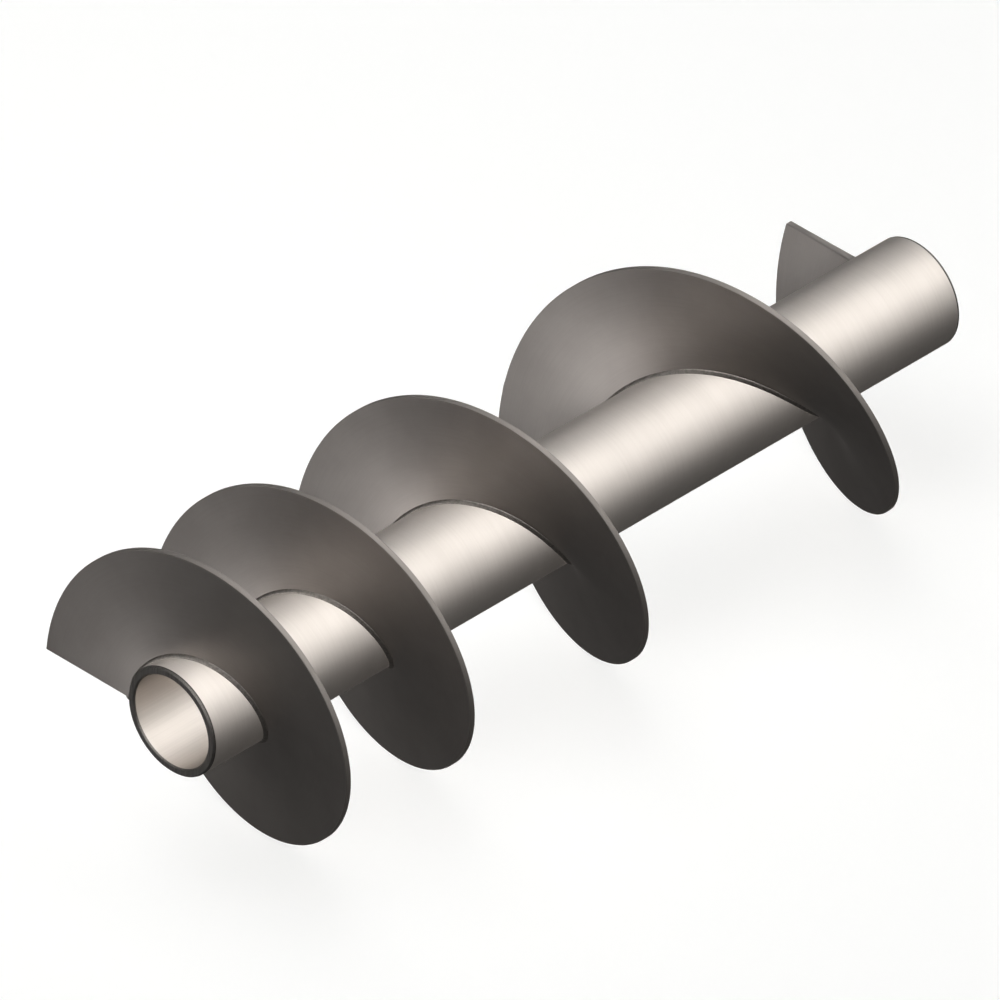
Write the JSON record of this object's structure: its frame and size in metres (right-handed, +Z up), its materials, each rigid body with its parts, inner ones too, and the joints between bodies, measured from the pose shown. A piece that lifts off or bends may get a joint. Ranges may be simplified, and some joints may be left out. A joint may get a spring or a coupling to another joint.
{
  "type": "variable pitch screw conveyor rotor",
  "caption": "Variable pitch conveyor screw: a steel center pipe with right-hand sectional flights welded along it, pitch growing from inlet to discharge.",
  "frame": {"origin": "centre of the rectangle that the screw covers, on the floor under the flight rims", "axes": "+X along the pipe from the tight-pitch inlet end to the long-pitch discharge end, +Z up, +Y to the side where the flight starts and ends"},
  "size_m": [0.94, 0.315, 0.3148],
  "materials": {
    "pipe_steel": "bright satin seamless tube, fine polishing marks running round it, a thin dull line at each end",
    "flight_steel": "even satin grey hot-rolled plate, faintly clouded, duller on its sheared rims",
    "weld_steel": "wire-brushed weld bead with fine ripples"
  },
  "bodies": {
    "root": {"center_pipe": "pipe_steel", "flight_turn_1": "flight_steel", "flight_turn_2": "flight_steel", "flight_turn_3": "flight_steel", "flight_turn_4": "flight_steel", "front_weld_turn_1": "weld_steel", "front_weld_turn_2": "weld_steel", "front_weld_turn_3": "weld_steel", "front_weld_turn_4": "weld_steel", "back_weld_turn_1": "weld_steel", "back_weld_turn_2": "weld_steel", "back_weld_turn_3": "weld_steel", "back_weld_turn_4": "weld_steel", "seam_weld_1_2": "weld_steel", "seam_weld_2_3": "weld_steel", "seam_weld_3_4": "weld_steel", "end_weld_inlet": "weld_steel", "end_weld_discharge": "weld_steel"}
  },
  "joints": []
}
